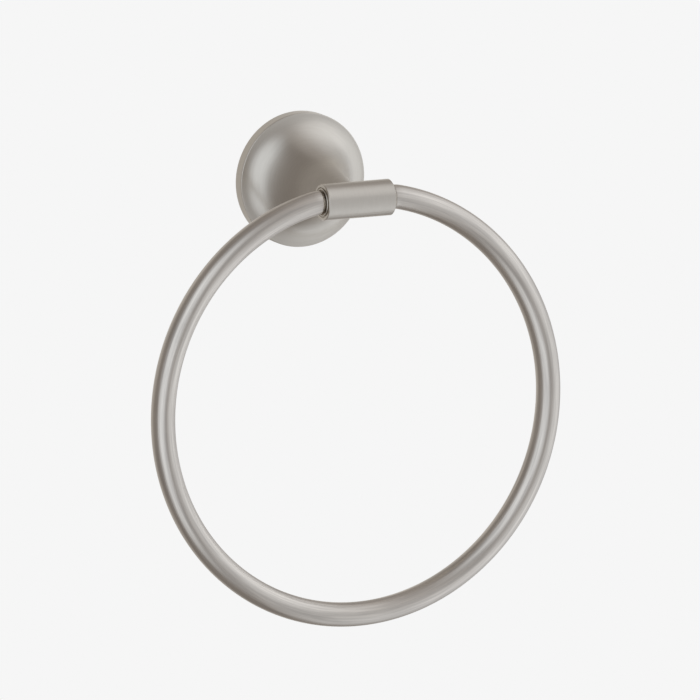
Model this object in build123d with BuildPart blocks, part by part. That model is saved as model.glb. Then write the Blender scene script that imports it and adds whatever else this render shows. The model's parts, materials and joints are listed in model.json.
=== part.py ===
from build123d import *
from math import atan2, cos, degrees, radians, sin, sqrt
import os

# Towel ring: a hoop that swings in a short barrel, which a flared post holds out from the wall.
# Millimetres. The wall is the plane Y = 0, the part stands out of it towards -Y, +Z is up and
# +X runs along the barrel. The origin is the middle of the post's foot, on the wall.

# Hoop
hoop_radius = 87.0  # to the middle of the tube
tube_radius = 5.0
tube_wall = 1.0
bend_radius = 12.0  # where the hoop straightens to enter the barrel
neck_radius = 4.5  # the hoop's ends, drawn down to turn in their bushes
neck_depth = 9.0  # how far each neck reaches into the barrel
shoulder_gap = 1.0  # barrel's end to the shoulder where a neck begins

# Barrel and its bushes
barrel_reach = 56.0  # wall to the barrel's axis
barrel_length = 30.4
barrel_wall = 1.25
barrel_edge = 0.3  # chamfer round the barrel's ends
bore_edge = 0.1  # chamfer round the mouths of its bore
bush_wall = 1.63
bush_length = 10.3
lip_proud = 0.3  # how far a bush's lip stands out of the barrel
lip_round = 0.32
lip_groove_width = 0.4  # groove between a bush's lip and the barrel
lip_groove_depth = 0.6
mouth_depth = 1.0  # of the wider mouth inside the lip
mouth_clearance = 0.15  # radial, more than the hoop's tube
running_clearance = 0.1  # radial, neck in bush
press_clearance = 0.02  # radial, bush in barrel

# Post
foot_radius = 27.85
foot_edge_height = 5.2
foot_edge_round = 0.4
flare_radius = 12.7
flare_start_slope = 4.5  # degrees off the wall, at the foot's edge
throat_radius = 38.5
stem_end_radius = 5.0
stem_taper = 13.5  # degrees, on each side
spigot_radius = 3.0
braze_gap = 0.05  # post to barrel, filled by the brazing metal

# Wall bracket, and the screw that holds the post on it
foot_edge_wall = 5.85  # thickness of the foot's edge round its hollow
bracket_thickness = 4.2
bracket_side_gap = 0.4
bracket_front_gap = 0.3
bracket_groove = 1.2  # depth
wall_screw_radius = 2.25
wall_screw_sink_radius = 4.5
wall_screw_sink_angle = 90.0
wall_screw_edge = 8.6  # from the bracket's edge to the middle of a screw hole
grub_radius = 1.5
grub_clearance = 0.05  # radial, screw in its hole
grub_sink = 0.5  # how far the screw's outer end lies below the foot's edge
grub_tip_radius = 0.25
grub_seat_gap = 0.1  # screw's point to the bottom of the groove
hex_key = 1.5  # across the flats
hex_depth = 1.6

# Sizes and places that follow from the ones above
bush_bore = neck_radius + running_clearance
bush_radius = bush_bore + bush_wall
barrel_bore = bush_radius + press_clearance
barrel_radius = barrel_bore + barrel_wall
barrel_end = barrel_length / 2
bush_outer_end = barrel_end + lip_proud
bush_inner_end = bush_outer_end - bush_length
lip_radius = barrel_bore - lip_groove_width
lip_foot = barrel_end - lip_groove_depth
mouth_radius = tube_radius + mouth_clearance
mouth_bottom = bush_outer_end - mouth_depth
neck_end = barrel_end - neck_depth
shoulder = barrel_end + shoulder_gap
shoulder_round = tube_radius - neck_radius
stem_end = barrel_reach - barrel_radius
bend_start = shoulder + shoulder_round
bend_to_hoop = sqrt((hoop_radius - bend_radius) ** 2 - bend_start**2)
hoop_drop = bend_radius + bend_to_hoop  # barrel's axis to the hoop's middle
bend_turn = degrees(atan2(bend_start, bend_to_hoop))
hollow_radius = foot_radius - foot_edge_wall
hollow_depth = bracket_thickness + bracket_front_gap
bracket_radius = hollow_radius - bracket_side_gap
wall_screw_offset = bracket_radius - wall_screw_edge
grub_height = bracket_thickness / 2
grub_point = bracket_radius - bracket_groove + grub_tip_radius + grub_seat_gap

# Half sections of turned pieces: first the radius, then the distance out from the wall
turning_plane = Plane(origin=(0, 0, 0), x_dir=(1, 0, 0), z_dir=(0, 0, -1))
barrel_axis = Axis((0, -barrel_reach, 0), (1, 0, 0))

# The post's flare and throat are arcs that touch each other, and the throat touches the stem's line
foot_corner = Vector(foot_radius, foot_edge_height)
stem_tip = Vector(stem_end_radius, stem_end)
start_slope = radians(flare_start_slope)
taper = radians(stem_taper)
along_stem = Vector(-sin(taper), cos(taper))
off_stem = Vector(cos(taper), sin(taper))
horn_tip = stem_tip + along_stem * (barrel_radius / cos(taper))
flare_middle = foot_corner + Vector(sin(start_slope), cos(start_slope)) * flare_radius
middles_off = (stem_tip - flare_middle).dot(off_stem) + throat_radius
middles_along = sqrt((throat_radius - flare_radius) ** 2 - middles_off**2)
middles_apart = off_stem * middles_off + along_stem * middles_along
flare_end_slope = degrees(atan2(middles_apart.X, middles_apart.Y))

os.makedirs("parts", exist_ok=True)


def end_plane(side):
    """Half sections at one end of the barrel: first the distance from its middle, then the radius."""
    return Plane(origin=(0, -barrel_reach, 0), x_dir=(side, 0, 0), z_dir=(0, -side, 0))


def save(piece, name):
    """Label a finished piece and write it to its own file."""
    piece.label = name
    export_step(piece, f"parts/{name}.step")


# Post: a hollow foot whose face flares up into the stem, turned in one piece
with BuildPart() as wall_post:
    with BuildSketch(turning_plane) as post_section:
        with BuildLine():
            Polyline(
                (0, hollow_depth),
                (hollow_radius, hollow_depth),
                (hollow_radius, 0),
                (foot_radius, 0),
                foot_corner,
            )
            flare = JernArc(
                foot_corner,
                (-cos(start_slope), sin(start_slope)),
                flare_radius,
                flare_start_slope - flare_end_slope,
            )
            throat = JernArc(
                flare @ 1, flare % 1, throat_radius, flare_end_slope + stem_taper - 90
            )
            Polyline(throat @ 1, horn_tip, (0, barrel_reach), (0, hollow_depth))
        make_face()
        rim_corners = post_section.vertices().group_by(Axis.X)[-1]
        fillet(rim_corners.sort_by(Axis.Y)[-1], foot_edge_round)
    revolve(axis=Axis.Y)
    # The stem's end is hollowed to sit on the barrel, with a spigot that enters its wall
    with Locations((0, -barrel_reach, 0)):
        Cylinder(barrel_radius + braze_gap, barrel_length, rotation=(0, 90, 0), mode=Mode.SUBTRACT)
    with BuildSketch(Plane.XZ.offset(stem_end - barrel_wall)):
        Circle(spigot_radius)
    extrude(amount=2 * barrel_wall)
    # Screw hole in the underside of the foot's edge
    with BuildSketch(Plane.XY.offset(-foot_radius)):
        with Locations((0, -grub_height)):
            Circle(grub_radius)
    extrude(amount=foot_edge_wall + bracket_side_gap, mode=Mode.SUBTRACT)
save(wall_post.part, "wall_post")

# Barrel: a short tube, with a hole behind for the post's spigot
with BuildPart() as barrel:
    with BuildSketch(Plane.YZ.offset(-barrel_end)):
        with Locations((-barrel_reach, 0)):
            Circle(barrel_radius)
            Circle(barrel_bore, mode=Mode.SUBTRACT)
    extrude(amount=barrel_length)
    bores, rims = barrel.edges().filter_by(GeomType.CIRCLE).group_by(SortBy.RADIUS)
    chamfer(rims, barrel_edge)
    chamfer(bores, bore_edge)
    with BuildSketch(Plane.XZ.offset(stem_end)):
        Circle(spigot_radius + braze_gap)
    extrude(amount=barrel_radius, mode=Mode.SUBTRACT)
save(barrel.part, "barrel")

# Bushes: a sleeve in each mouth of the barrel, whose rounded lip stands out of a fine groove
for name, side in (("bush_left", -1), ("bush_right", 1)):
    with BuildPart() as bush:
        with BuildSketch(end_plane(side)) as bush_section:
            with BuildLine():
                Polyline(
                    (bush_inner_end, bush_bore),
                    (bush_inner_end, bush_radius),
                    (lip_foot, bush_radius),
                    (lip_foot, lip_radius),
                    (bush_outer_end, lip_radius),
                    (bush_outer_end, mouth_radius),
                    (mouth_bottom, mouth_radius),
                    (mouth_bottom, bush_bore),
                    close=True,
                )
            make_face()
            fillet(bush_section.vertices().group_by(Axis.X)[-1], lip_round)
        revolve(axis=barrel_axis)
    save(bush.part, name)

# Hoop: one tube, bent to a circle whose two ends straighten onto the barrel's axis
with BuildPart() as ring:
    with BuildLine(Plane.XZ.offset(barrel_reach)) as hoop_line:
        CenterArc((bend_start, -bend_radius), bend_radius, 90, -bend_turn)
        CenterArc((0, -hoop_drop), hoop_radius, 90 - bend_turn, 2 * bend_turn - 360)
        CenterArc((-bend_start, -bend_radius), bend_radius, 90 + bend_turn, -bend_turn)
    with BuildSketch(Plane.YZ.offset(bend_start)):
        with Locations((-barrel_reach, 0)):
            Circle(tube_radius)
            Circle(tube_radius - tube_wall, mode=Mode.SUBTRACT)
    sweep(path=hoop_line.wire())
    # Each end is drawn down over a rounded shoulder to the neck that turns in its bush
    for side in (-1, 1):
        with BuildSketch(end_plane(side)):
            with BuildLine():
                Polyline(
                    (shoulder, neck_radius),
                    (neck_end, neck_radius),
                    (neck_end, neck_radius - tube_wall),
                    (shoulder - shoulder_round, neck_radius - tube_wall),
                    (bend_start, tube_radius - tube_wall),
                    (bend_start, tube_radius),
                )
                CenterArc((bend_start, neck_radius), shoulder_round, 90, 90)
            make_face()
        revolve(axis=barrel_axis)
save(ring.part, "ring")

# Wall bracket: a plate with a groove round its edge and two sunk holes for screws into the wall
with BuildPart() as wall_bracket:
    with BuildSketch(turning_plane):
        with BuildLine():
            Polyline(
                (0, 0),
                (bracket_radius, 0),
                (bracket_radius, grub_height - bracket_groove),
                (bracket_radius - bracket_groove, grub_height),
                (bracket_radius, grub_height + bracket_groove),
                (bracket_radius, bracket_thickness),
                (0, bracket_thickness),
                close=True,
            )
        make_face()
    revolve(axis=Axis.Y)
    with Locations(Plane.XZ.offset(bracket_thickness)):
        with Locations((-wall_screw_offset, 0), (wall_screw_offset, 0)):
            CounterSinkHole(
                wall_screw_radius, wall_screw_sink_radius, counter_sink_angle=wall_screw_sink_angle
            )
save(wall_bracket.part, "wall_bracket")

# Grub screw: its cone sits in the bracket's groove, and its outer end takes a hexagon key
with BuildPart() as grub_screw:
    shank_radius = grub_radius - grub_clearance
    cone_end = grub_point + shank_radius - grub_tip_radius
    outer_end = foot_radius - grub_sink
    with BuildSketch(Plane.YZ):
        with BuildLine():
            Polyline(
                (-grub_height, -grub_point),
                (-grub_height + grub_tip_radius, -grub_point),
                (-grub_height + shank_radius, -cone_end),
                (-grub_height + shank_radius, -outer_end),
                (-grub_height, -outer_end),
                close=True,
            )
        make_face()
    revolve(axis=Axis((0, -grub_height, 0), (0, 0, 1)))
    with BuildSketch(Plane.XY.offset(-outer_end)):
        with Locations((0, -grub_height)):
            RegularPolygon(hex_key / 2, 6, major_radius=False)
    extrude(amount=hex_depth, mode=Mode.SUBTRACT)
save(grub_screw.part, "grub_screw")
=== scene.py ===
"""Looks of a wall towel ring: a satin nickel hoop that swings in the barrel of a flared post."""

import json
import math
from functools import partial
from typing import NamedTuple

import bmesh
import bpy
from bpy.props import FloatProperty, FloatVectorProperty, IntProperty, PointerProperty
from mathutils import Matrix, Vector


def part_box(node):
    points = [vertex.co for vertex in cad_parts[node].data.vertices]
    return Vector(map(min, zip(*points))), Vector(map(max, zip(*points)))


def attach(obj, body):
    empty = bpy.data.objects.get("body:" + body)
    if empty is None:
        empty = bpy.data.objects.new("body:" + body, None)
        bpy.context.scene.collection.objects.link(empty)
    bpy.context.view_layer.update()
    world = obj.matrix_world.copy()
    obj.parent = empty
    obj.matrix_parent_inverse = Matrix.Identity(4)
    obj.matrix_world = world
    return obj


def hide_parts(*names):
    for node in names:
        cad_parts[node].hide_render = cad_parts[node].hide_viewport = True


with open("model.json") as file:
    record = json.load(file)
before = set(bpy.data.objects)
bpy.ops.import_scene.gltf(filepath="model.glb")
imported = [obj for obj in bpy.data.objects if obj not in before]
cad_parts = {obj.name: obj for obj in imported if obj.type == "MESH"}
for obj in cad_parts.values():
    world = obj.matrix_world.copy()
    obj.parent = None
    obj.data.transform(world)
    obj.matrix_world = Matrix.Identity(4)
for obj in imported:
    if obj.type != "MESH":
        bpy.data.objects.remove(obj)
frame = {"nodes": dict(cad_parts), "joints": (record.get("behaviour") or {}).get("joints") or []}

bl_info = {
    "name": "Towel ring",
    "version": (1, 0, 0),
    "blender": (4, 5, 0),
    "location": "3D View > Sidebar > Towel ring",
    "description": "Dresses a towel ring in brushed nickel and sets it up in a small studio",
    "category": "Object",
}

MM = 0.001
X_AXIS = Vector((1, 0, 0))
Y_AXIS = Vector((0, 1, 0))
Z_AXIS = Vector((0, 0, 1))

# What the frame gives: the object's box, and sizes of pieces to the nearest tenth of a millimetre
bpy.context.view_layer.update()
RING_LOW, RING_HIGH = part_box("ring")
BARREL_LOW, BARREL_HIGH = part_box("barrel")
SCREW_LOW, SCREW_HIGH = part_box("grub_screw")
TUBE_RADIUS = round((RING_HIGH.y - RING_LOW.y) / 2, 4)
HOOP_RADIUS = round((RING_HIGH.x - RING_LOW.x) / 2 - TUBE_RADIUS, 4)
BARREL_END = round((BARREL_HIGH.x - BARREL_LOW.x) / 2, 4)
BARREL_RADIUS = round((BARREL_HIGH.z - BARREL_LOW.z) / 2, 4)
SCREW_MIDDLE = (SCREW_LOW + SCREW_HIGH) / 2
PIVOT = Vector(frame["joints"][0]["pos_m"])
BARREL_REACH = -PIVOT.y

# How finely the post's small stretches are drawn, with the drill for its screw hole, and the floor
CORNER_STEPS = 10
STEM_STEPS = 12
SEAT_STEPS = 4
DRILL_SIDES = 48
FLOOR_SIDES = 96

# An edge that folds by more than this stays sharp
TUBE_CREASE = math.radians(50)
LATHE_CREASE = math.radians(30)

# Where a Mix node has its colours
MIX_FIRST = 6
MIX_SECOND = 7
MIX_RESULT = 2

# Noise stays near its middle, and nearly all of it is in this range
NOISE_LOW = 0.3
NOISE_HIGH = 0.7

# The photograph: its size, and where and how large it shows the ring
PICTURE_SIDE = 700
PICTURE_MIDDLE = (PICTURE_SIDE - 1) / 2
RING_MIDDLE_PIXEL = (355.07, 404.03)
PIXELS_PER_MM = 2.445


def linear_colour(hex_colour):
    """A colour written as sRGB hex, as the linear red, green and blue that Blender works with."""
    channels = [int(hex_colour[i : i + 2], 16) / 255 for i in (1, 3, 5)]
    return [c / 12.92 if c <= 0.04045 else ((c + 0.055) / 1.055) ** 2.4 for c in channels]


def add_node(tree, kind, inputs=None, **settings):
    """Add a node, set its own settings, then link or set its inputs, which are named or numbered."""
    node = tree.nodes.new(kind)
    for name, value in settings.items():
        setattr(node, name, value)
    for name, value in (inputs or {}).items():
        if isinstance(value, bpy.types.NodeSocket):
            tree.links.new(value, node.inputs[name])
        else:
            node.inputs[name].default_value = value
    return node


def from_the_room(longitude, latitude):
    """The direction out from the object, in degrees: straight off the wall at zero, then right and up."""
    across, above = math.radians(longitude), math.radians(latitude)
    return Vector(
        (math.sin(across) * math.cos(above), -math.cos(across) * math.cos(above), math.sin(above))
    )


class Glow(NamedTuple):
    """A soft patch of light in the room, in degrees: full within its core, and nothing past its reach."""

    longitude: float
    latitude: float
    reach: float
    core: float
    # How many times as tall as it is wide
    height: float = 1.0
    # Its share at full
    most: float = 1.0


RIGHT_SCREEN = Glow(longitude=70, latitude=-30, reach=76, core=4, height=2.4)
LEFT_SPILL = Glow(longitude=-40, latitude=9, reach=47, core=2, height=2.4)
CEILING = Glow(longitude=74, latitude=47, reach=43, core=37, height=0.8)
# How metal sees the backdrop, which stands behind the object and turns a little forward on the right
BACKDROP = Glow(longitude=180, latitude=0, reach=66, core=9, most=0.54)
BACKDROP_TURN = Glow(longitude=155, latitude=-12, reach=26, core=4, height=1.3, most=0.5)


class HoopSizes(bpy.types.PropertyGroup):
    """Sizes of the hoop's tube and of the path that it is bent along."""

    hoop_radius: FloatProperty(
        name="Hoop radius", description="Middle of the hoop to the middle of its tube",
        default=HOOP_RADIUS, unit="LENGTH",
    )
    tube_radius: FloatProperty(
        name="Tube radius", description="Outside of the tube", default=TUBE_RADIUS, unit="LENGTH"
    )
    tube_wall: FloatProperty(
        name="Tube wall", description="Thickness of the tube's wall", default=1.0 * MM, unit="LENGTH"
    )
    bend_radius: FloatProperty(
        name="Bend radius", description="Where the hoop straightens to enter the barrel",
        default=12.0 * MM, unit="LENGTH",
    )
    neck_radius: FloatProperty(
        name="Neck radius", description="Ends of the tube, drawn down to turn in their bushes",
        default=4.5 * MM, unit="LENGTH",
    )
    neck_depth: FloatProperty(
        name="Neck depth", description="How far each neck reaches into the barrel",
        default=9.0 * MM, unit="LENGTH",
    )
    shoulder_gap: FloatProperty(
        name="Shoulder gap", description="From the barrel's end to the shoulder where a neck begins",
        default=1.0 * MM, unit="LENGTH",
    )
    shoulder_steps: IntProperty(
        name="Shoulder steps", description="Points round a shoulder", default=8, min=2
    )
    sides: IntProperty(name="Sides", description="Faces round the tube", default=64, min=12)
    step: FloatProperty(
        name="Step", description="Turn of the path from one point to the next",
        default=math.radians(1.0), subtype="ANGLE",
    )

    def shoulder(self):
        """The barrel's middle to where a neck begins."""
        return BARREL_END + self.shoulder_gap

    def shoulder_round(self):
        """Radius of the quarter round from the neck up to the full tube."""
        return self.tube_radius - self.neck_radius

    def bend_start(self):
        """Half the straight way through the barrel."""
        return self.shoulder() + self.shoulder_round()

    def drop(self):
        """From the pivot down to the middle of the hoop, where hoop and bends run into each other."""
        return self.bend_radius + math.sqrt(
            (self.hoop_radius - self.bend_radius) ** 2 - self.bend_start() ** 2
        )

    def middle(self):
        """The middle of the hoop as it hangs."""
        return PIVOT - Z_AXIS * self.drop()


class PostSizes(bpy.types.PropertyGroup):
    """Sizes of the post: a hollow foot on the wall, whose face flares through a throat into the stem."""

    foot_radius: FloatProperty(
        name="Foot radius", description="Round foot on the wall", default=27.85 * MM, unit="LENGTH"
    )
    edge_height: FloatProperty(
        name="Edge height", description="Wall to the corner of the foot's edge",
        default=5.2 * MM, unit="LENGTH",
    )
    edge_round: FloatProperty(
        name="Edge round", description="Radius of that corner", default=0.4 * MM, unit="LENGTH"
    )
    flare_radius: FloatProperty(
        name="Flare radius", description="Curve of the foot's face", default=12.7 * MM, unit="LENGTH"
    )
    flare_slope: FloatProperty(
        name="Flare slope", description="Foot's face off the wall, at its edge",
        default=math.radians(4.5), subtype="ANGLE",
    )
    throat_radius: FloatProperty(
        name="Throat radius", description="Curve from the flare into the stem",
        default=38.5 * MM, unit="LENGTH",
    )
    ease: FloatProperty(
        name="Ease", description="Stretch over which one curve runs into the next",
        default=8.0 * MM, unit="LENGTH",
    )
    stem_radius: FloatProperty(
        name="Stem radius", description="Stem where it comes to the barrel",
        default=5.0 * MM, unit="LENGTH",
    )
    stem_taper: FloatProperty(
        name="Stem taper", description="On each side", default=math.radians(13.5), subtype="ANGLE"
    )
    braze_gap: FloatProperty(
        name="Braze gap", description="Stem's hollow end to the barrel",
        default=0.05 * MM, unit="LENGTH",
    )
    spigot_radius: FloatProperty(
        name="Spigot radius", description="Pin on the stem's end", default=3.0 * MM, unit="LENGTH"
    )
    spigot_length: FloatProperty(
        name="Spigot length", description="How far the pin enters the barrel's wall",
        default=1.25 * MM, unit="LENGTH",
    )
    hollow_radius: FloatProperty(
        name="Hollow radius", description="Hollow behind the foot", default=22.0 * MM, unit="LENGTH"
    )
    hollow_depth: FloatProperty(
        name="Hollow depth", description="From the wall", default=4.5 * MM, unit="LENGTH"
    )
    screw_hole: FloatProperty(
        name="Screw hole", description="Radius of the hole in the foot's edge",
        default=1.5 * MM, unit="LENGTH",
    )
    sides: IntProperty(name="Sides", description="Faces round the post", default=256, min=12)
    step: FloatProperty(
        name="Step", description="From one point of the curves to the next",
        default=0.4 * MM, unit="LENGTH",
    )


class ScrewSizes(bpy.types.PropertyGroup):
    """Sizes of the grub screw that holds the foot on its bracket."""

    shank_radius: FloatProperty(
        name="Shank radius", description="Crest of the thread", default=1.45 * MM, unit="LENGTH"
    )
    pitch: FloatProperty(
        name="Pitch", description="From one turn of the thread to the next",
        default=0.5 * MM, unit="LENGTH",
    )
    thread_depth: FloatProperty(
        name="Thread depth", description="Crest to root", default=0.27 * MM, unit="LENGTH"
    )
    tip_radius: FloatProperty(
        name="Tip radius", description="Flat at the end of the cone", default=0.25 * MM, unit="LENGTH"
    )
    end_chamfer: FloatProperty(
        name="End chamfer", description="Round the outer end", default=0.2 * MM, unit="LENGTH"
    )
    key: FloatProperty(
        name="Key", description="Hexagon socket, across its flats", default=1.5 * MM, unit="LENGTH"
    )
    key_depth: FloatProperty(
        name="Key depth", description="Depth of the socket", default=1.6 * MM, unit="LENGTH"
    )
    sides: IntProperty(name="Sides", description="Faces round the screw", default=48, min=12, step=6)
    turn_steps: IntProperty(name="Turn steps", description="Faces along one turn", default=8, min=4)


class Finishes(bpy.types.PropertyGroup):
    """Colours of the metals, and how coarse their brushing shows."""

    # The hoop is the same nickel as the post, but its two colours average a few percent lighter. That is
    # painted light, standing in for light that the studio gives the hoop too little of. The spread
    # between the two colours is the brush lines.
    tube_light: FloatVectorProperty(
        name="Tube, light", description="Crest of a brush line on the hoop",
        default=linear_colour("#E1D8CB"), subtype="COLOR",
    )
    tube_dark: FloatVectorProperty(
        name="Tube, dark", description="Bottom of a brush line on the hoop",
        default=linear_colour("#C4BCB1"), subtype="COLOR",
    )
    nickel_light: FloatVectorProperty(
        name="Nickel, light", description="Crest of a brush line on the other pieces",
        default=linear_colour("#D4CCBF"), subtype="COLOR",
    )
    nickel_dark: FloatVectorProperty(
        name="Nickel, dark", description="Bottom of a brush line on the other pieces",
        default=linear_colour("#CBC3B6"), subtype="COLOR",
    )
    tube_roughness: FloatProperty(
        name="Tube roughness", description="How far the hoop's satin finish spreads a reflection",
        default=0.33, min=0.0, max=1.0, subtype="FACTOR",
    )
    post_roughness: FloatProperty(
        name="Post roughness", description="How far the post's satin finish spreads a reflection",
        default=0.33, min=0.0, max=1.0, subtype="FACTOR",
    )
    barrel_roughness: FloatProperty(
        name="Barrel roughness", description="How far the barrel's satin finish spreads a reflection",
        default=0.29, min=0.0, max=1.0, subtype="FACTOR",
    )
    bush_roughness: FloatProperty(
        name="Bush roughness", description="Of the turned faces of the bushes",
        default=0.28, min=0.0, max=1.0, subtype="FACTOR",
    )
    tube_lines: FloatProperty(
        name="Tube lines", description="From one brush line of the hoop to the next",
        default=0.9 * MM, unit="LENGTH",
    )
    post_lines: FloatProperty(
        name="Post lines", description="From one brush line of the post to the next",
        default=0.7 * MM, unit="LENGTH",
    )
    barrel_lines: FloatProperty(
        name="Barrel lines", description="From one line of the barrel, bushes and screw to the next",
        default=0.45 * MM, unit="LENGTH",
    )
    line_depth: FloatProperty(
        name="Line depth", description="From the crest of a brush line to its bottom",
        default=0.016 * MM, unit="LENGTH",
    )
    zinc: FloatVectorProperty(
        name="Zinc", description="Cast bracket", default=linear_colour("#C4C6C8"), subtype="COLOR"
    )
    zinc_dark: FloatVectorProperty(
        name="Zinc, dark", description="Dull patches of the casting",
        default=linear_colour("#AEB1B4"), subtype="COLOR",
    )
    zinc_roughness: FloatProperty(
        name="Zinc roughness", description="Of the bracket's cast skin",
        default=0.5, min=0.0, max=1.0, subtype="FACTOR",
    )
    grain: FloatProperty(
        name="Casting grain", description="Size of the casting's grain", default=0.8 * MM, unit="LENGTH"
    )
    steel: FloatVectorProperty(
        name="Steel", description="Grub screw", default=linear_colour("#B4B2AF"), subtype="COLOR"
    )
    steel_dark: FloatVectorProperty(
        name="Steel, dark", description="Tool marks on the grub screw",
        default=linear_colour("#9B9996"), subtype="COLOR",
    )
    steel_roughness: FloatProperty(
        name="Steel roughness", description="Of the grub screw's machined faces",
        default=0.35, min=0.0, max=1.0, subtype="FACTOR",
    )


class Studio(bpy.types.PropertyGroup):
    """The view, the background and the light."""

    azimuth: FloatProperty(
        name="Azimuth", description="Camera to the right of straight ahead",
        default=math.radians(-25.15), subtype="ANGLE",
    )
    elevation: FloatProperty(
        name="Elevation", description="Camera above the horizon",
        default=math.radians(10.17), subtype="ANGLE",
    )
    camera_distance: FloatProperty(
        name="Camera distance", description="Camera to the object", default=1.2, unit="LENGTH"
    )
    backdrop: FloatVectorProperty(
        name="Backdrop", description="What the camera sees behind the object",
        default=linear_colour("#F6F6F6"), subtype="COLOR",
    )
    surroundings: FloatVectorProperty(
        name="Surroundings", description="Dim room round the studio",
        default=linear_colour("#8D8988"), subtype="COLOR",
    )
    right_glow: FloatVectorProperty(
        name="Right glow", description="Pale screen on the right, added to the surroundings",
        default=linear_colour("#C8D2DF"), subtype="COLOR",
    )
    left_glow: FloatVectorProperty(
        name="Left glow", description="Spill round the soft box on the left, added to the surroundings",
        default=linear_colour("#C5D2E2"), subtype="COLOR",
    )
    high_glow: FloatVectorProperty(
        name="High glow", description="Pale ceiling on the right, added to the surroundings",
        default=linear_colour("#6B6C70"), subtype="COLOR",
    )
    lamp_colour: FloatVectorProperty(
        name="Lamp colour", description="Colour of the soft boxes",
        default=linear_colour("#EEF5FF"), subtype="COLOR",
    )
    lamp_distance: FloatProperty(
        name="Lamp distance", description="Soft boxes to the object", default=2.0, unit="LENGTH"
    )
    floor_drop: FloatProperty(
        name="Floor drop", description="Floor below the post", default=0.5, unit="LENGTH"
    )
    floor_radius: FloatProperty(
        name="Floor radius", description="Size of the round floor", default=0.7, unit="LENGTH"
    )
    floor_colour: FloatVectorProperty(
        name="Floor", description="Pale matt floor", default=linear_colour("#DCDAD5"), subtype="COLOR"
    )
    floor_lift: FloatProperty(
        name="Floor lift", description="Share of the backdrop's light that the camera sees on the floor",
        default=0.53, min=0.0, max=1.0, subtype="FACTOR",
    )


def brush_lines(tree, axis, centre, spacing, stretch, strength):
    """Noise drawn out into fine lines round an axis, as a turning wheel leaves them, from 0 to 1.

    Across the lines the noise has one unit to a spacing, along them stretch units to a radian. A strength
    below 1 draws it in towards a half."""
    spot = add_node(tree, "ShaderNodeTexCoord").outputs["Object"]
    place = add_node(
        tree, "ShaderNodeVectorMath", {0: spot, 1: centre}, operation="SUBTRACT"
    ).outputs[0]
    square_on = Vector((1, 1, 1)) - axis
    arm = add_node(
        tree, "ShaderNodeVectorMath", {0: place, 1: square_on}, operation="MULTIPLY"
    ).outputs[0]
    way = add_node(tree, "ShaderNodeVectorMath", {0: arm}, operation="NORMALIZE").outputs[0]
    along = add_node(
        tree, "ShaderNodeVectorMath", {0: place, 1: axis / spacing}, operation="MULTIPLY"
    ).outputs[0]
    pattern = add_node(
        tree,
        "ShaderNodeVectorMath",
        {0: way, 1: (stretch, stretch, stretch), 2: along},
        operation="MULTIPLY_ADD",
    ).outputs[0]
    reach = add_node(tree, "ShaderNodeVectorMath", {0: arm}, operation="LENGTH").outputs["Value"]
    rings = add_node(tree, "ShaderNodeMath", {0: reach, 1: spacing}, operation="DIVIDE").outputs[0]
    noise = add_node(
        tree,
        "ShaderNodeTexNoise",
        {"Vector": pattern, "W": rings, "Scale": 1.0, "Detail": 2.0, "Roughness": 0.6},
        noise_dimensions="4D",
    )
    return add_node(
        tree,
        "ShaderNodeMapRange",
        {
            "Value": noise.outputs["Fac"],
            "From Min": NOISE_LOW,
            "From Max": NOISE_HIGH,
            "To Min": 0.5 - strength / 2,
            "To Max": 0.5 + strength / 2,
        },
    ).outputs["Result"]


def casting_grain(tree, size):
    """The uneven skin of a casting, from 0 to 1."""
    spot = add_node(tree, "ShaderNodeTexCoord").outputs["Object"]
    noise = add_node(tree, "ShaderNodeTexNoise", {"Vector": spot, "Scale": 1 / size, "Detail": 3.0})
    return noise.outputs["Fac"]


def metal(name, light, dark, roughness, uneven, pattern, depth):
    """A metal whose colour, gloss and surface follow a pattern of lines or grain.

    pattern adds its nodes to the material's tree, uneven is how far the roughness swings with it, and
    depth is how deep it is in metres."""
    material = bpy.data.materials.new(name)
    material.use_nodes = True
    tree = material.node_tree
    tree.nodes.clear()
    level = pattern(tree)
    colour = add_node(
        tree,
        "ShaderNodeMix",
        {"Factor": level, MIX_FIRST: (*dark, 1), MIX_SECOND: (*light, 1)},
        data_type="RGBA",
    )
    gloss = add_node(
        tree,
        "ShaderNodeMapRange",
        {"Value": level, "To Min": roughness + uneven, "To Max": roughness - uneven},
    )
    relief = add_node(tree, "ShaderNodeBump", {"Height": level, "Strength": 1.0, "Distance": depth})
    surface = add_node(
        tree,
        "ShaderNodeBsdfPrincipled",
        {
            "Base Color": colour.outputs[MIX_RESULT],
            "Metallic": 1.0,
            "Roughness": gloss.outputs["Result"],
            "Normal": relief.outputs["Normal"],
        },
    )
    add_node(tree, "ShaderNodeOutputMaterial", {"Surface": surface.outputs["BSDF"]})
    return material


def brushed_nickel(finishes, name, light, dark, roughness, lines):
    """Nickel plate on brass, brushed to a satin."""
    # A warm grey metal whose soft reflections carry faint lines. The real ones are a few hundredths of a
    # millimetre apart, and are drawn coarser so that they show
    return metal(name, light, dark, roughness, uneven=0.03, pattern=lines, depth=finishes.line_depth)


def turned_nickel(finishes):
    """Nickel plate on turned brass, for the bushes."""
    # Not brushed, so a little brighter than the barrel, with faint rings from the tool
    rings = partial(
        brush_lines, axis=X_AXIS, centre=PIVOT, spacing=finishes.barrel_lines,
        stretch=1.0, strength=0.25,
    )
    return metal(
        "Turned nickel bush", finishes.nickel_light, finishes.nickel_dark, finishes.bush_roughness,
        uneven=0.05, pattern=rings, depth=0.002 * MM,
    )


def cast_zinc(finishes):
    """Die cast zinc, for the wall bracket."""
    # Dull and slightly blue, with a fine uneven skin
    return metal(
        "Cast zinc", finishes.zinc, finishes.zinc_dark, finishes.zinc_roughness,
        uneven=0.08, pattern=partial(casting_grain, size=finishes.grain), depth=0.01 * MM,
    )


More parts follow.
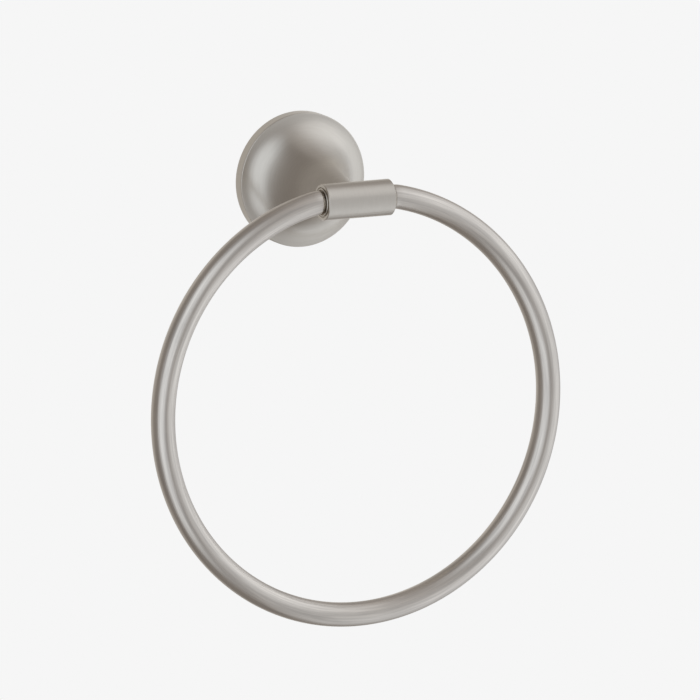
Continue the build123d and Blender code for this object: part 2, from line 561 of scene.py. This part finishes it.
def machined_steel(finishes):
    """Stainless steel, machined, for the grub screw."""
    # Neutral grey with bright rings round the shank
    rings = partial(
        brush_lines, axis=Z_AXIS, centre=SCREW_MIDDLE, spacing=finishes.barrel_lines,
        stretch=1.0, strength=1.0,
    )
    return metal(
        "Machined steel", finishes.steel, finishes.steel_dark, finishes.steel_roughness,
        uneven=0.06, pattern=rings, depth=0.004 * MM,
    )


def show(node, material):
    """Give a carried-over piece its finish."""
    for slot in frame["nodes"][node].material_slots:
        slot.material = material


def add_object(name, data):
    """Put a mesh, curve, lamp or camera into the scene, at the origin."""
    item = bpy.data.objects.new(name, data)
    bpy.context.scene.collection.objects.link(item)
    return item


def bent_tube_tree():
    """Geometry nodes that draw a round tube along a path, whose radius is a share of the full tube's."""
    tree = bpy.data.node_groups.new("Bent tube", "GeometryNodeTree")
    for name, kind in (
        ("Path", "NodeSocketGeometry"),
        ("Tube radius", "NodeSocketFloat"),
        ("Sides", "NodeSocketInt"),
        ("Sharp from", "NodeSocketFloat"),
        ("Finish", "NodeSocketMaterial"),
    ):
        tree.interface.new_socket(name, in_out="INPUT", socket_type=kind)
    tree.interface.new_socket("Tube", in_out="OUTPUT", socket_type="NodeSocketGeometry")
    given = add_node(tree, "NodeGroupInput").outputs
    section = add_node(
        tree,
        "GeometryNodeCurvePrimitiveCircle",
        {"Resolution": given["Sides"], "Radius": given["Tube radius"]},
        mode="RADIUS",
    )
    share = add_node(tree, "GeometryNodeInputRadius").outputs["Radius"]
    tube = add_node(
        tree,
        "GeometryNodeCurveToMesh",
        {"Curve": given["Path"], "Profile Curve": section.outputs["Curve"], "Scale": share},
    )
    smooth = add_node(tree, "GeometryNodeSetShadeSmooth", {"Geometry": tube.outputs["Mesh"]})
    fold = add_node(tree, "GeometryNodeInputMeshEdgeAngle").outputs["Unsigned Angle"]
    corner = add_node(
        tree, "ShaderNodeMath", {0: fold, 1: given["Sharp from"]}, operation="GREATER_THAN"
    )
    sharp = add_node(
        tree,
        "GeometryNodeSetShadeSmooth",
        {"Geometry": smooth.outputs["Geometry"], "Selection": corner.outputs[0], "Shade Smooth": False},
        domain="EDGE",
    )
    real = add_node(tree, "GeometryNodeRealizeInstances", {"Geometry": sharp.outputs["Geometry"]})
    finished = add_node(
        tree,
        "GeometryNodeSetMaterial",
        {"Geometry": real.outputs["Geometry"], "Material": given["Finish"]},
    )
    add_node(tree, "NodeGroupOutput", {"Tube": finished.outputs["Geometry"]})
    return tree


def hoop_path(sizes):
    """Points and radii from the tip of one neck, over its shoulder, round the hoop to the other tip."""
    start, bend, hoop = sizes.bend_start(), sizes.bend_radius, sizes.hoop_radius
    turn = math.atan2(start, sizes.drop() - bend)
    neck = [(BARREL_END - sizes.neck_depth, sizes.neck_radius)]
    for i in range(sizes.shoulder_steps):
        angle = math.pi / 2 * i / sizes.shoulder_steps
        neck.append(
            (
                sizes.shoulder() + sizes.shoulder_round() * (1 - math.cos(angle)),
                sizes.neck_radius + sizes.shoulder_round() * math.sin(angle),
            )
        )
    arcs = (
        (start, -bend, bend, 0, turn),
        (0, -sizes.drop(), hoop, turn, 2 * math.pi - turn),
        (-start, -bend, bend, -turn, 0),
    )
    tube = [(PIVOT + X_AXIS * start, sizes.tube_radius)]
    for middle_x, middle_z, radius, first, last in arcs:
        steps = math.ceil((last - first) / sizes.step)
        for i in range(1, steps + 1):
            angle = first + (last - first) * i / steps
            place = X_AXIS * (middle_x + radius * math.sin(angle)) + Z_AXIS * (
                middle_z + radius * math.cos(angle)
            )
            tube.append((PIVOT + place, sizes.tube_radius))
    right_end = [(PIVOT + X_AXIS * along, radius) for along, radius in neck]
    left_end = [(PIVOT - X_AXIS * along, radius) for along, radius in reversed(neck)]
    return right_end + tube + left_end


def with_modifiers(source):
    """Return what an object's modifiers make of it as a plain mesh, and remove the object."""
    graph = bpy.context.evaluated_depsgraph_get()
    mesh = bpy.data.meshes.new_from_object(source.evaluated_get(graph))
    bpy.data.objects.remove(source)
    return mesh


def with_nodes(source, tree, values):
    """Run geometry nodes on an object and return the result as a plain mesh."""
    modifier = source.modifiers.new(tree.name, "NODES")
    modifier.node_group = tree
    for item in tree.interface.items_tree:
        if item.name in values:
            modifier[item.identifier] = values[item.name]
    return with_modifiers(source)


def hoop_tube(sizes, finish):
    """The hoop's tube without its wall."""
    points = hoop_path(sizes)
    path = bpy.data.curves.new("hoop_path", "CURVE")
    path.dimensions = "3D"
    line = path.splines.new("POLY")
    line.points.add(len(points) - 1)
    for spot, (point, radius) in zip(line.points, points):
        spot.co = (*point, 1)
        spot.radius = radius / sizes.tube_radius
    values = {
        "Tube radius": sizes.tube_radius,
        "Sides": sizes.sides,
        "Sharp from": TUBE_CREASE,
        "Finish": finish,
    }
    return with_nodes(add_object("hoop_path", path), bent_tube_tree(), values)


def horn_outline(sizes):
    """Radius and reach from the wall, from the foot's rounded edge over flare and throat to the stem.

    The curves are arcs that touch. Each eases into the next, so that no reflection breaks at a seam."""
    flare, throat, corner = sizes.flare_radius, sizes.throat_radius, sizes.edge_round
    middle_radius = sizes.foot_radius + flare * math.sin(sizes.flare_slope)
    middle_reach = sizes.edge_height + flare * math.cos(sizes.flare_slope)
    corner_radius = sizes.foot_radius - corner
    slope = math.asin((middle_radius - corner_radius) / (flare + corner))
    corner_reach = middle_reach - (flare + corner) * math.cos(slope)
    points = []
    for i in range(CORNER_STEPS + 1):
        angle = (math.pi / 2 - slope) * i / CORNER_STEPS
        points.append(
            (corner_radius + corner * math.cos(angle), corner_reach + corner * math.sin(angle))
        )
    # The slope at which the flare touches the throat, which touches the stem's line
    upright = math.pi / 2 - sizes.stem_taper
    off_stem = (sizes.stem_radius - middle_radius) * math.cos(sizes.stem_taper) + (
        BARREL_REACH - BARREL_RADIUS - middle_reach
    ) * math.sin(sizes.stem_taper)
    # An eased curve turns late, which moves what follows by ease squared over 24 for each unit that the
    # curvature drops. So the flare turns a little further, and the stem stays in place
    late = sizes.ease**2 / 24
    meet = upright - math.acos(
        (off_stem + throat + late / throat) / (throat - flare - late * (1 / flare - 1 / throat))
    )
    flare_end = flare * (meet - slope)
    throat_end = flare_end + throat * (upright - meet)
    steps = math.ceil((throat_end + sizes.ease / 2) / sizes.step)
    step = (throat_end + sizes.ease / 2) / steps
    radius, reach = points[-1]
    for i in range(steps):
        way = (i + 0.5) * step
        to_throat, to_stem = (
            min(max((way - end) / sizes.ease + 0.5, 0), 1) for end in (flare_end, throat_end)
        )
        turn = step * ((1 - to_throat) / flare + (to_throat - to_stem) / throat)
        radius -= step * math.cos(slope + turn / 2)
        reach += step * math.sin(slope + turn / 2)
        slope += turn
        points.append((radius, reach))
    return points


def half_section(sizes, horn, angle):
    """Radius and reach of the post's outline at one angle, from the hollow's edge to the spigot's."""
    rim_radius, rim_reach = horn[0]
    outline = [(sizes.hollow_radius, sizes.hollow_depth), (sizes.hollow_radius, 0), (rim_radius, 0)]
    outline += [(rim_radius, rim_reach - sizes.edge_round), *horn]
    # The stem's line ends where it meets the barrel's round, at the nearer root of a quadratic, and that
    # round leads back to the spigot
    seat = BARREL_RADIUS + sizes.braze_gap
    radius, reach = horn[-1]
    inwards, outwards, upright = math.sin(sizes.stem_taper), math.cos(sizes.stem_taper), math.cos(angle)
    a = (inwards * upright) ** 2 + outwards**2
    b = radius * inwards * upright**2 + (BARREL_REACH - reach) * outwards
    c = (radius * upright) ** 2 + (BARREL_REACH - reach) ** 2 - seat**2
    length = (b - math.sqrt(b * b - a * c)) / a
    for i in range(1, STEM_STEPS + 1):
        way = length * i / STEM_STEPS
        outline.append((radius - way * inwards, reach + way * outwards))
    stem_end = outline[-1][0]
    for i in range(1, SEAT_STEPS + 1):
        inner = stem_end + (sizes.spigot_radius - stem_end) * i / SEAT_STEPS
        outline.append((inner, BARREL_REACH - math.sqrt(seat**2 - (inner * upright) ** 2)))
    outline.append((sizes.spigot_radius, BARREL_REACH - BARREL_RADIUS + sizes.spigot_length))
    return outline


def closed_round(name, columns, first, last):
    """A closed mesh from columns of points round an axis, and the points where it starts and ends."""
    shape = bmesh.new()
    columns = [[shape.verts.new(point) for point in column] for column in columns]
    first, last = shape.verts.new(first), shape.verts.new(last)
    for this, following in zip(columns, columns[1:] + columns[:1]):
        shape.faces.new((first, this[0], following[0]))
        shape.faces.new((this[-1], last, following[-1]))
        for i in range(len(this) - 1):
            shape.faces.new((this[i], this[i + 1], following[i + 1], following[i]))
    bmesh.ops.recalc_face_normals(shape, faces=shape.faces)
    mesh = bpy.data.meshes.new(name)
    shape.to_mesh(mesh)
    shape.free()
    return mesh


def turned_post(sizes):
    """The post as a lathe leaves it, with its end hollowed to sit on the barrel."""
    horn = horn_outline(sizes)
    columns = []
    for j in range(sizes.sides):
        # Half a step round, so that no edge of the post falls on one of the drill's
        angle = 2 * math.pi * (j + 0.5) / sizes.sides
        outward = X_AXIS * math.sin(angle) + Z_AXIS * math.cos(angle)
        section = half_section(sizes, horn, angle)
        columns.append([outward * radius - Y_AXIS * reach for radius, reach in section])
    spigot_end = BARREL_REACH - BARREL_RADIUS + sizes.spigot_length
    return closed_round("post", columns, -Y_AXIS * sizes.hollow_depth, -Y_AXIS * spigot_end)


def threaded_screw(sizes):
    """The grub screw: a cone, a right-hand thread and a hexagon socket in the outer end."""
    tip = Vector((0, SCREW_MIDDLE.y, SCREW_HIGH.z))
    length = SCREW_HIGH.z - SCREW_LOW.z
    rows = math.ceil(length / sizes.pitch * sizes.turn_steps)
    columns = []
    for j in range(sizes.sides):
        angle = 2 * math.pi * j / sizes.sides
        outward = X_AXIS * math.cos(angle) + Y_AXIS * math.sin(angle)
        column = []
        for i in range(rows + 1):
            way = length * i / rows
            turn = (way / sizes.pitch + j / sizes.sides) % 1
            radius = min(
                sizes.shank_radius - sizes.thread_depth * abs(2 * turn - 1),
                sizes.tip_radius + way,
                sizes.shank_radius - sizes.end_chamfer + length - way,
            )
            column.append(outward * radius - Z_AXIS * way + tip)
        off_flat = angle % (math.pi / 3) - math.pi / 6
        socket = outward * sizes.key / 2 / math.cos(off_flat) + tip
        column += [socket - Z_AXIS * length, socket - Z_AXIS * (length - sizes.key_depth)]
        columns.append(column)
    return closed_round("threaded_screw", columns, tip, tip - Z_AXIS * (length - sizes.key_depth))


def screw_drill(sizes):
    """A rod that cuts the screw hole through the underside of the foot's edge."""
    shape = bmesh.new()
    bmesh.ops.create_cone(
        shape, cap_ends=True, segments=DRILL_SIDES, radius1=sizes.screw_hole, radius2=sizes.screw_hole,
        depth=2 * (sizes.foot_radius - sizes.hollow_radius),
    )
    middle = Vector((0, SCREW_MIDDLE.y, -(sizes.foot_radius + sizes.hollow_radius) / 2))
    bmesh.ops.translate(shape, verts=shape.verts, vec=middle)
    mesh = bpy.data.meshes.new("screw_drill")
    shape.to_mesh(mesh)
    shape.free()
    return mesh


def drilled_post(sizes):
    """The turned post with its screw hole cut."""
    drill = add_object("screw_drill", screw_drill(sizes))
    blank = add_object("post_blank", turned_post(sizes))
    hole = blank.modifiers.new("Screw hole", "BOOLEAN")
    hole.operation = "DIFFERENCE"
    hole.solver = "EXACT"
    hole.object = drill
    mesh = with_modifiers(blank)
    bpy.data.objects.remove(drill)
    return mesh


def finish_lathe_work(mesh, finish):
    """Shade a turned piece smooth apart from its sharp edges, and give it its finish."""
    mesh.polygons.foreach_set("use_smooth", [True] * len(mesh.polygons))
    mesh.set_sharp_from_angle(angle=LATHE_CREASE)
    mesh.materials.clear()
    mesh.materials.append(finish)


class TOWELRING_OT_hoop(bpy.types.Operator):
    """Bend the hoop's tube along its path and let it swing with the ring"""

    bl_idname = "towelring.hoop"
    bl_label = "Hoop"

    def execute(self, context):
        sizes, finishes = context.scene.towelring_hoop, context.scene.towelring_finishes
        lines = partial(
            brush_lines, axis=Y_AXIS, centre=sizes.middle(), spacing=finishes.tube_lines,
            stretch=3.5, strength=1.0,
        )
        # The hoop's colours carry painted light: on average they are a few percent lighter than the
        # post's nickel
        nickel = brushed_nickel(
            finishes, "Brushed nickel tube", finishes.tube_light, finishes.tube_dark,
            finishes.tube_roughness, lines,
        )
        hoop = add_object("hoop", hoop_tube(sizes, nickel))
        wall = hoop.modifiers.new("Tube wall", "SOLIDIFY")
        wall.thickness = sizes.tube_wall
        wall.offset = -1
        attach(hoop, "ring")
        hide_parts("ring")
        return {"FINISHED"}


class TOWELRING_OT_post(bpy.types.Operator):
    """Turn the post, drill its screw hole and brush it round its stem"""

    bl_idname = "towelring.post"
    bl_label = "Post"

    def execute(self, context):
        finishes = context.scene.towelring_finishes
        lines = partial(
            brush_lines, axis=Y_AXIS, centre=Vector(), spacing=finishes.post_lines,
            stretch=2.5, strength=0.5,
        )
        nickel = brushed_nickel(
            finishes, "Brushed nickel post", finishes.nickel_light, finishes.nickel_dark,
            finishes.post_roughness, lines,
        )
        mesh = drilled_post(context.scene.towelring_post)
        finish_lathe_work(mesh, nickel)
        post = add_object("post", mesh)
        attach(post, "post")
        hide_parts("wall_post")
        return {"FINISHED"}


class TOWELRING_OT_barrel(bpy.types.Operator):
    """Brush the barrel round its axis, and turn the bushes in its mouths"""

    bl_idname = "towelring.barrel"
    bl_label = "Barrel and bushes"

    def execute(self, context):
        finishes = context.scene.towelring_finishes
        lines = partial(
            brush_lines, axis=X_AXIS, centre=PIVOT, spacing=finishes.barrel_lines,
            stretch=2.0, strength=0.4,
        )
        nickel = brushed_nickel(
            finishes, "Brushed nickel barrel", finishes.nickel_light, finishes.nickel_dark,
            finishes.barrel_roughness, lines,
        )
        show("barrel", nickel)
        turned = turned_nickel(finishes)
        for node in ("bush_left", "bush_right"):
            show(node, turned)
        return {"FINISHED"}


class TOWELRING_OT_fixings(bpy.types.Operator):
    """Finish the cast wall bracket and cut the thread of the steel grub screw"""

    bl_idname = "towelring.fixings"
    bl_label = "Bracket and grub screw"

    def execute(self, context):
        finishes = context.scene.towelring_finishes
        show("wall_bracket", cast_zinc(finishes))
        mesh = threaded_screw(context.scene.towelring_screw)
        finish_lathe_work(mesh, machined_steel(finishes))
        screw = add_object("threaded_screw", mesh)
        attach(screw, "post")
        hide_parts("grub_screw")
        return {"FINISHED"}


def soft_box(studio, name, longitude, latitude, half_width, half_height, level):
    """A lamp that faces the object and fills the given half angles, in degrees, with even light."""
    lamp = bpy.data.lights.new(name, "AREA")
    lamp.shape = "RECTANGLE"
    lamp.size = 2 * studio.lamp_distance * math.tan(math.radians(half_width))
    lamp.size_y = 2 * studio.lamp_distance * math.tan(math.radians(half_height))
    lamp.energy = level * math.pi * lamp.size * lamp.size_y
    lamp.color = studio.lamp_colour
    outward = from_the_room(longitude, latitude)
    holder = add_object(name, lamp)
    holder.location = PIVOT + outward * studio.lamp_distance
    holder.rotation_euler = outward.to_track_quat("Z", "Y").to_euler()
    holder.visible_camera = False


def studio_world(studio):
    """A dim room with a pale screen on the right, spill on the left and a backdrop behind the object.

    The camera sees the backdrop all round. What mirrors it sees it only where it stands."""
    world = bpy.data.worlds.new("Studio")
    world.use_nodes = True
    tree = world.node_tree
    tree.nodes.clear()
    way = add_node(tree, "ShaderNodeTexCoord").outputs["Generated"]

    def share(glow):
        """How much of a glow each direction gets."""
        squeeze = Vector((1, 1, 1 / glow.height))
        flat = add_node(
            tree, "ShaderNodeVectorMath", {0: way, 1: squeeze}, operation="MULTIPLY"
        ).outputs[0]
        flat = add_node(tree, "ShaderNodeVectorMath", {0: flat}, operation="NORMALIZE").outputs[0]
        middle = (from_the_room(glow.longitude, glow.latitude) * squeeze).normalized()
        facing = add_node(tree, "ShaderNodeVectorMath", {0: flat, 1: middle}, operation="DOT_PRODUCT")
        return add_node(
            tree,
            "ShaderNodeMapRange",
            {
                "Value": facing.outputs["Value"],
                "From Min": math.cos(math.radians(glow.reach)),
                "From Max": math.cos(math.radians(glow.core)),
                "To Max": glow.most,
            },
            interpolation_type="SMOOTHSTEP",
        ).outputs["Result"]

    colour = (*studio.surroundings, 1)
    for glow, added in (
        (RIGHT_SCREEN, studio.right_glow),
        (LEFT_SPILL, studio.left_glow),
        (CEILING, studio.high_glow),
    ):
        mixed = add_node(
            tree,
            "ShaderNodeMix",
            {"Factor": share(glow), MIX_FIRST: colour, MIX_SECOND: (*added, 1)},
            data_type="RGBA",
            blend_type="ADD",
        )
        colour = mixed.outputs[MIX_RESULT]
    room = add_node(tree, "ShaderNodeBackground", {"Color": colour, "Strength": 1.0})
    backdrop = add_node(
        tree, "ShaderNodeBackground", {"Color": (*studio.backdrop, 1), "Strength": 1.0}
    )
    ray = add_node(tree, "ShaderNodeLightPath").outputs
    mirrored = add_node(
        tree,
        "ShaderNodeMath",
        {0: ray["Is Glossy Ray"], 1: ray["Is Transmission Ray"]},
        operation="MAXIMUM",
    )
    behind = add_node(
        tree, "ShaderNodeMath", {0: share(BACKDROP), 1: share(BACKDROP_TURN)}, operation="ADD"
    )
    seen = add_node(
        tree,
        "ShaderNodeMath",
        {0: mirrored.outputs[0], 1: behind.outputs[0], 2: ray["Is Camera Ray"]},
        operation="MULTIPLY_ADD",
        use_clamp=True,
    )
    light = add_node(
        tree,
        "ShaderNodeMixShader",
        {0: seen.outputs[0], 1: room.outputs["Background"], 2: backdrop.outputs["Background"]},
    )
    add_node(tree, "ShaderNodeOutputWorld", {"Surface": light.outputs["Shader"]})
    bpy.context.scene.world = world


def studio_floor(studio):
    """A round pale floor below the object. For the camera it is lifted towards the backdrop's level."""
    shape = bmesh.new()
    bmesh.ops.create_circle(shape, cap_ends=True, segments=FLOOR_SIDES, radius=studio.floor_radius)
    bmesh.ops.translate(shape, verts=shape.verts, vec=(0, PIVOT.y, -studio.floor_drop))
    mesh = bpy.data.meshes.new("floor")
    shape.to_mesh(mesh)
    shape.free()
    material = bpy.data.materials.new("Matt floor paint")
    material.use_nodes = True
    tree = material.node_tree
    tree.nodes.clear()
    ray = add_node(tree, "ShaderNodeLightPath").outputs
    paint = add_node(tree, "ShaderNodeBsdfDiffuse", {"Color": (*studio.floor_colour, 1)})
    lift = add_node(
        tree, "ShaderNodeMath", {0: ray["Is Camera Ray"], 1: studio.floor_lift}, operation="MULTIPLY"
    )
    glow = add_node(
        tree, "ShaderNodeEmission", {"Color": (*studio.backdrop, 1), "Strength": lift.outputs[0]}
    )
    both = add_node(
        tree, "ShaderNodeAddShader", {0: paint.outputs["BSDF"], 1: glow.outputs["Emission"]}
    )
    add_node(tree, "ShaderNodeOutputMaterial", {"Surface": both.outputs["Shader"]})
    mesh.materials.append(material)
    floor = add_object("floor", mesh)
    floor.visible_glossy = False


def studio_camera(studio, ring_middle):
    """A camera without perspective, framed as the photograph is."""
    outward = from_the_room(math.degrees(studio.azimuth), math.degrees(studio.elevation))
    turn = outward.to_track_quat("Z", "Y")
    right, up = turn @ X_AXIS, turn @ Y_AXIS
    to_left = (RING_MIDDLE_PIXEL[0] - PICTURE_MIDDLE) / PIXELS_PER_MM * MM
    to_top = (RING_MIDDLE_PIXEL[1] - PICTURE_MIDDLE) / PIXELS_PER_MM * MM
    camera = bpy.data.cameras.new("camera")
    camera.type = "ORTHO"
    camera.ortho_scale = PICTURE_SIDE / PIXELS_PER_MM * MM
    holder = add_object("camera", camera)
    holder.location = ring_middle - right * to_left + up * to_top + outward * studio.camera_distance
    holder.rotation_euler = turn.to_euler()
    bpy.context.scene.camera = holder


class TOWELRING_OT_studio(bpy.types.Operator):
    """Set up the floor, the light and the camera"""

    bl_idname = "towelring.studio"
    bl_label = "Studio"

    def execute(self, context):
        studio = context.scene.towelring_studio
        context.scene.view_settings.view_transform = "Standard"
        studio_world(studio)
        studio_floor(studio)
        soft_box(
            studio, "left_soft_box", longitude=-40.6, latitude=-5,
            half_width=28, half_height=50, level=0.196,
        )
        soft_box(
            studio, "right_soft_box", longitude=68, latitude=20,
            half_width=28, half_height=64, level=0.12,
        )
        studio_camera(studio, context.scene.towelring_hoop.middle())
        return {"FINISHED"}


OPERATORS = (
    TOWELRING_OT_hoop,
    TOWELRING_OT_post,
    TOWELRING_OT_barrel,
    TOWELRING_OT_fixings,
    TOWELRING_OT_studio,
)


class TOWELRING_PT_sidebar(bpy.types.Panel):
    """The pieces and the studio, one button each"""

    bl_idname = "TOWELRING_PT_sidebar"
    bl_label = "Towel ring"
    bl_space_type = "VIEW_3D"
    bl_region_type = "UI"
    bl_category = "Towel ring"

    def draw(self, context):
        for operator in OPERATORS:
            self.layout.operator(operator.bl_idname)
        for group in (getattr(context.scene, name) for name in GROUPS):
            box = self.layout.box()
            for name in group.__annotations__:
                box.prop(group, name)


GROUPS = {
    "towelring_hoop": HoopSizes,
    "towelring_post": PostSizes,
    "towelring_screw": ScrewSizes,
    "towelring_finishes": Finishes,
    "towelring_studio": Studio,
}
CLASSES = (*GROUPS.values(), *OPERATORS, TOWELRING_PT_sidebar)


def register():
    for each in CLASSES:
        bpy.utils.register_class(each)
    for name, group in GROUPS.items():
        setattr(bpy.types.Scene, name, PointerProperty(type=group))


def unregister():
    for name in GROUPS:
        delattr(bpy.types.Scene, name)
    for each in reversed(CLASSES):
        bpy.utils.unregister_class(each)


def main():
    register()
    bpy.ops.towelring.hoop()
    bpy.ops.towelring.post()
    bpy.ops.towelring.barrel()
    bpy.ops.towelring.fixings()
    bpy.ops.towelring.studio()


if __name__ == "__main__":
    main()
